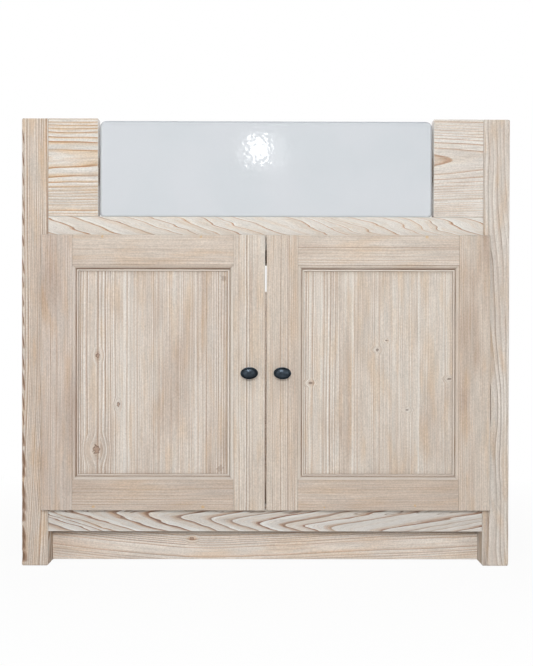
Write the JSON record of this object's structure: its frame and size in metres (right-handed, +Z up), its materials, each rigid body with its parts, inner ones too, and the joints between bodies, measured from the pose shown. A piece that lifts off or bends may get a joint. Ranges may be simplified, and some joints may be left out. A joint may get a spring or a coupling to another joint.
{
  "type": "sink base cabinet",
  "caption": "Limed pine sink base cabinet with an apron-front fireclay sink, panelled overlay doors on concealed hinges, a recessed plinth and an open service gap behind.",
  "frame": {"origin": "on the floor, at the middle of the outer box with the doors closed", "axes": "+X along the front to the viewer's right, +Y from the doors to the back, +Z up"},
  "size_m": [0.96, 0.6324, 0.88],
  "materials": {
    "pine": "limed and brushed, matt",
    "fireclay": "white gloss glaze",
    "black_iron": "satin black",
    "polished_steel": "polished",
    "nickelled_steel": "nickel plated",
    "rubber": "matt black",
    "clear_rubber": "translucent, soft"
  },
  "bodies": {
    "cabinet": {"front_post_left": "pine", "front_post_right": "pine", "rear_post_left": "pine", "rear_post_right": "pine", "sink_rail": "pine", "bottom_rail": "pine", "infill_block_left": "pine", "infill_block_right": "pine", "plinth_board": "pine", "side_top_rail_left": "pine", "side_top_rail_right": "pine", "side_bottom_rail_left": "pine", "side_bottom_rail_right": "pine", "side_panel_left": "pine", "side_panel_right": "pine", "back_bottom_rail": "pine", "back_middle_rail": "pine", "back_sink_rail": "pine", "back_top_rail": "pine", "back_panel": "pine", "base_board": "pine", "base_cleat_left": "pine", "base_cleat_right": "pine", "sink_bearer_left": "pine", "sink_bearer_right": "pine", "sink": "fireclay", "waste_body": "polished_steel", "waste_seal": "rubber", "waste_nut": "nickelled_steel", "left_upper_hinge_arm": "nickelled_steel", "left_lower_hinge_arm": "nickelled_steel", "right_upper_hinge_arm": "nickelled_steel", "right_lower_hinge_arm": "nickelled_steel"},
    "left_door": {"left_door_hinge_stile": "pine", "left_door_meeting_stile": "pine", "left_door_top_rail": "pine", "left_door_bottom_rail": "pine", "left_door_panel": "pine", "left_door_knob": "black_iron", "left_knob_bolt": "nickelled_steel", "left_upper_bumper": "clear_rubber", "left_lower_bumper": "clear_rubber", "left_upper_hinge_housing": "nickelled_steel", "left_lower_hinge_housing": "nickelled_steel", "left_upper_hinge_pin": "nickelled_steel", "left_lower_hinge_pin": "nickelled_steel"},
    "right_door": {"right_door_hinge_stile": "pine", "right_door_meeting_stile": "pine", "right_door_top_rail": "pine", "right_door_bottom_rail": "pine", "right_door_panel": "pine", "right_door_knob": "black_iron", "right_knob_bolt": "nickelled_steel", "right_upper_bumper": "clear_rubber", "right_lower_bumper": "clear_rubber", "right_upper_hinge_housing": "nickelled_steel", "right_lower_hinge_housing": "nickelled_steel", "right_upper_hinge_pin": "nickelled_steel", "right_lower_hinge_pin": "nickelled_steel"},
    "strainer_basket": {"strainer_basket": "polished_steel"}
  },
  "joints": [
    {"name": "left_door_hinge", "type": "hinge", "parent": "cabinet", "child": "left_door", "pos_m": [-0.431, -0.27425, 0.38185], "axis": [0, 0, -1], "range_deg": [0, 100]},
    {"name": "right_door_hinge", "type": "hinge", "parent": "cabinet", "child": "right_door", "pos_m": [0.431, -0.27425, 0.38185], "axis": [0, 0, 1], "range_deg": [0, 100]},
    {"name": "strainer_basket_lift", "type": "slide", "parent": "cabinet", "child": "strainer_basket", "axis": [0, 0, 1], "range_m": [0, 0.06]}
  ]
}
